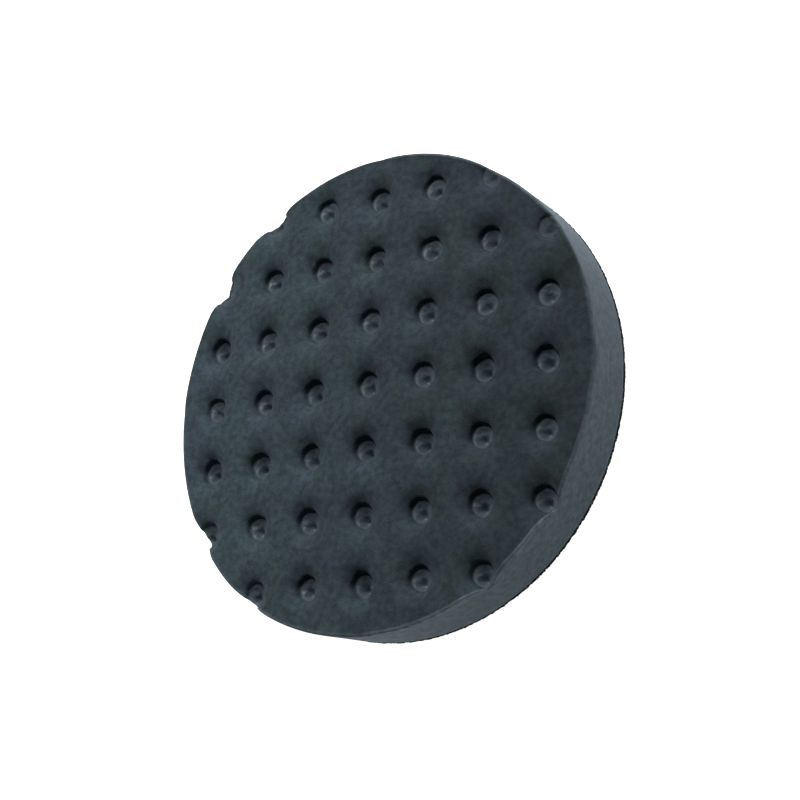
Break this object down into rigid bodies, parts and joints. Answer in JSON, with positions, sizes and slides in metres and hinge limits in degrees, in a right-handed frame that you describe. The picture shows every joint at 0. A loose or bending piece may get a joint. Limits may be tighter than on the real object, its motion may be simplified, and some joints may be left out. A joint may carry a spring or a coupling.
{
  "type": "foam polishing pad",
  "caption": "Round crowned foam disc with a square grid of small pressed pockets, notched rim and loop pile backing, for a car polishing machine.",
  "frame": {"origin": "centre of the loop face that the machine's backing plate grips", "axes": "+Z out of the polishing face along the pad's axis; +X and +Y along the rows and columns of the pocket grid"},
  "size_m": [0.1906, 0.1906, 0.0314],
  "materials": {
    "foam": "matte fine-cell polyurethane foam, dark slate",
    "adhesive_film": "satin hot-melt film",
    "backing_cloth": "warp-knitted nylon ground, black",
    "loop_pile": "brushed nylon loops, black"
  },
  "bodies": {
    "root": {"loop_pile": "loop_pile", "backing_cloth": "backing_cloth", "adhesive_film": "adhesive_film", "foam_disc": "foam"}
  },
  "joints": []
}
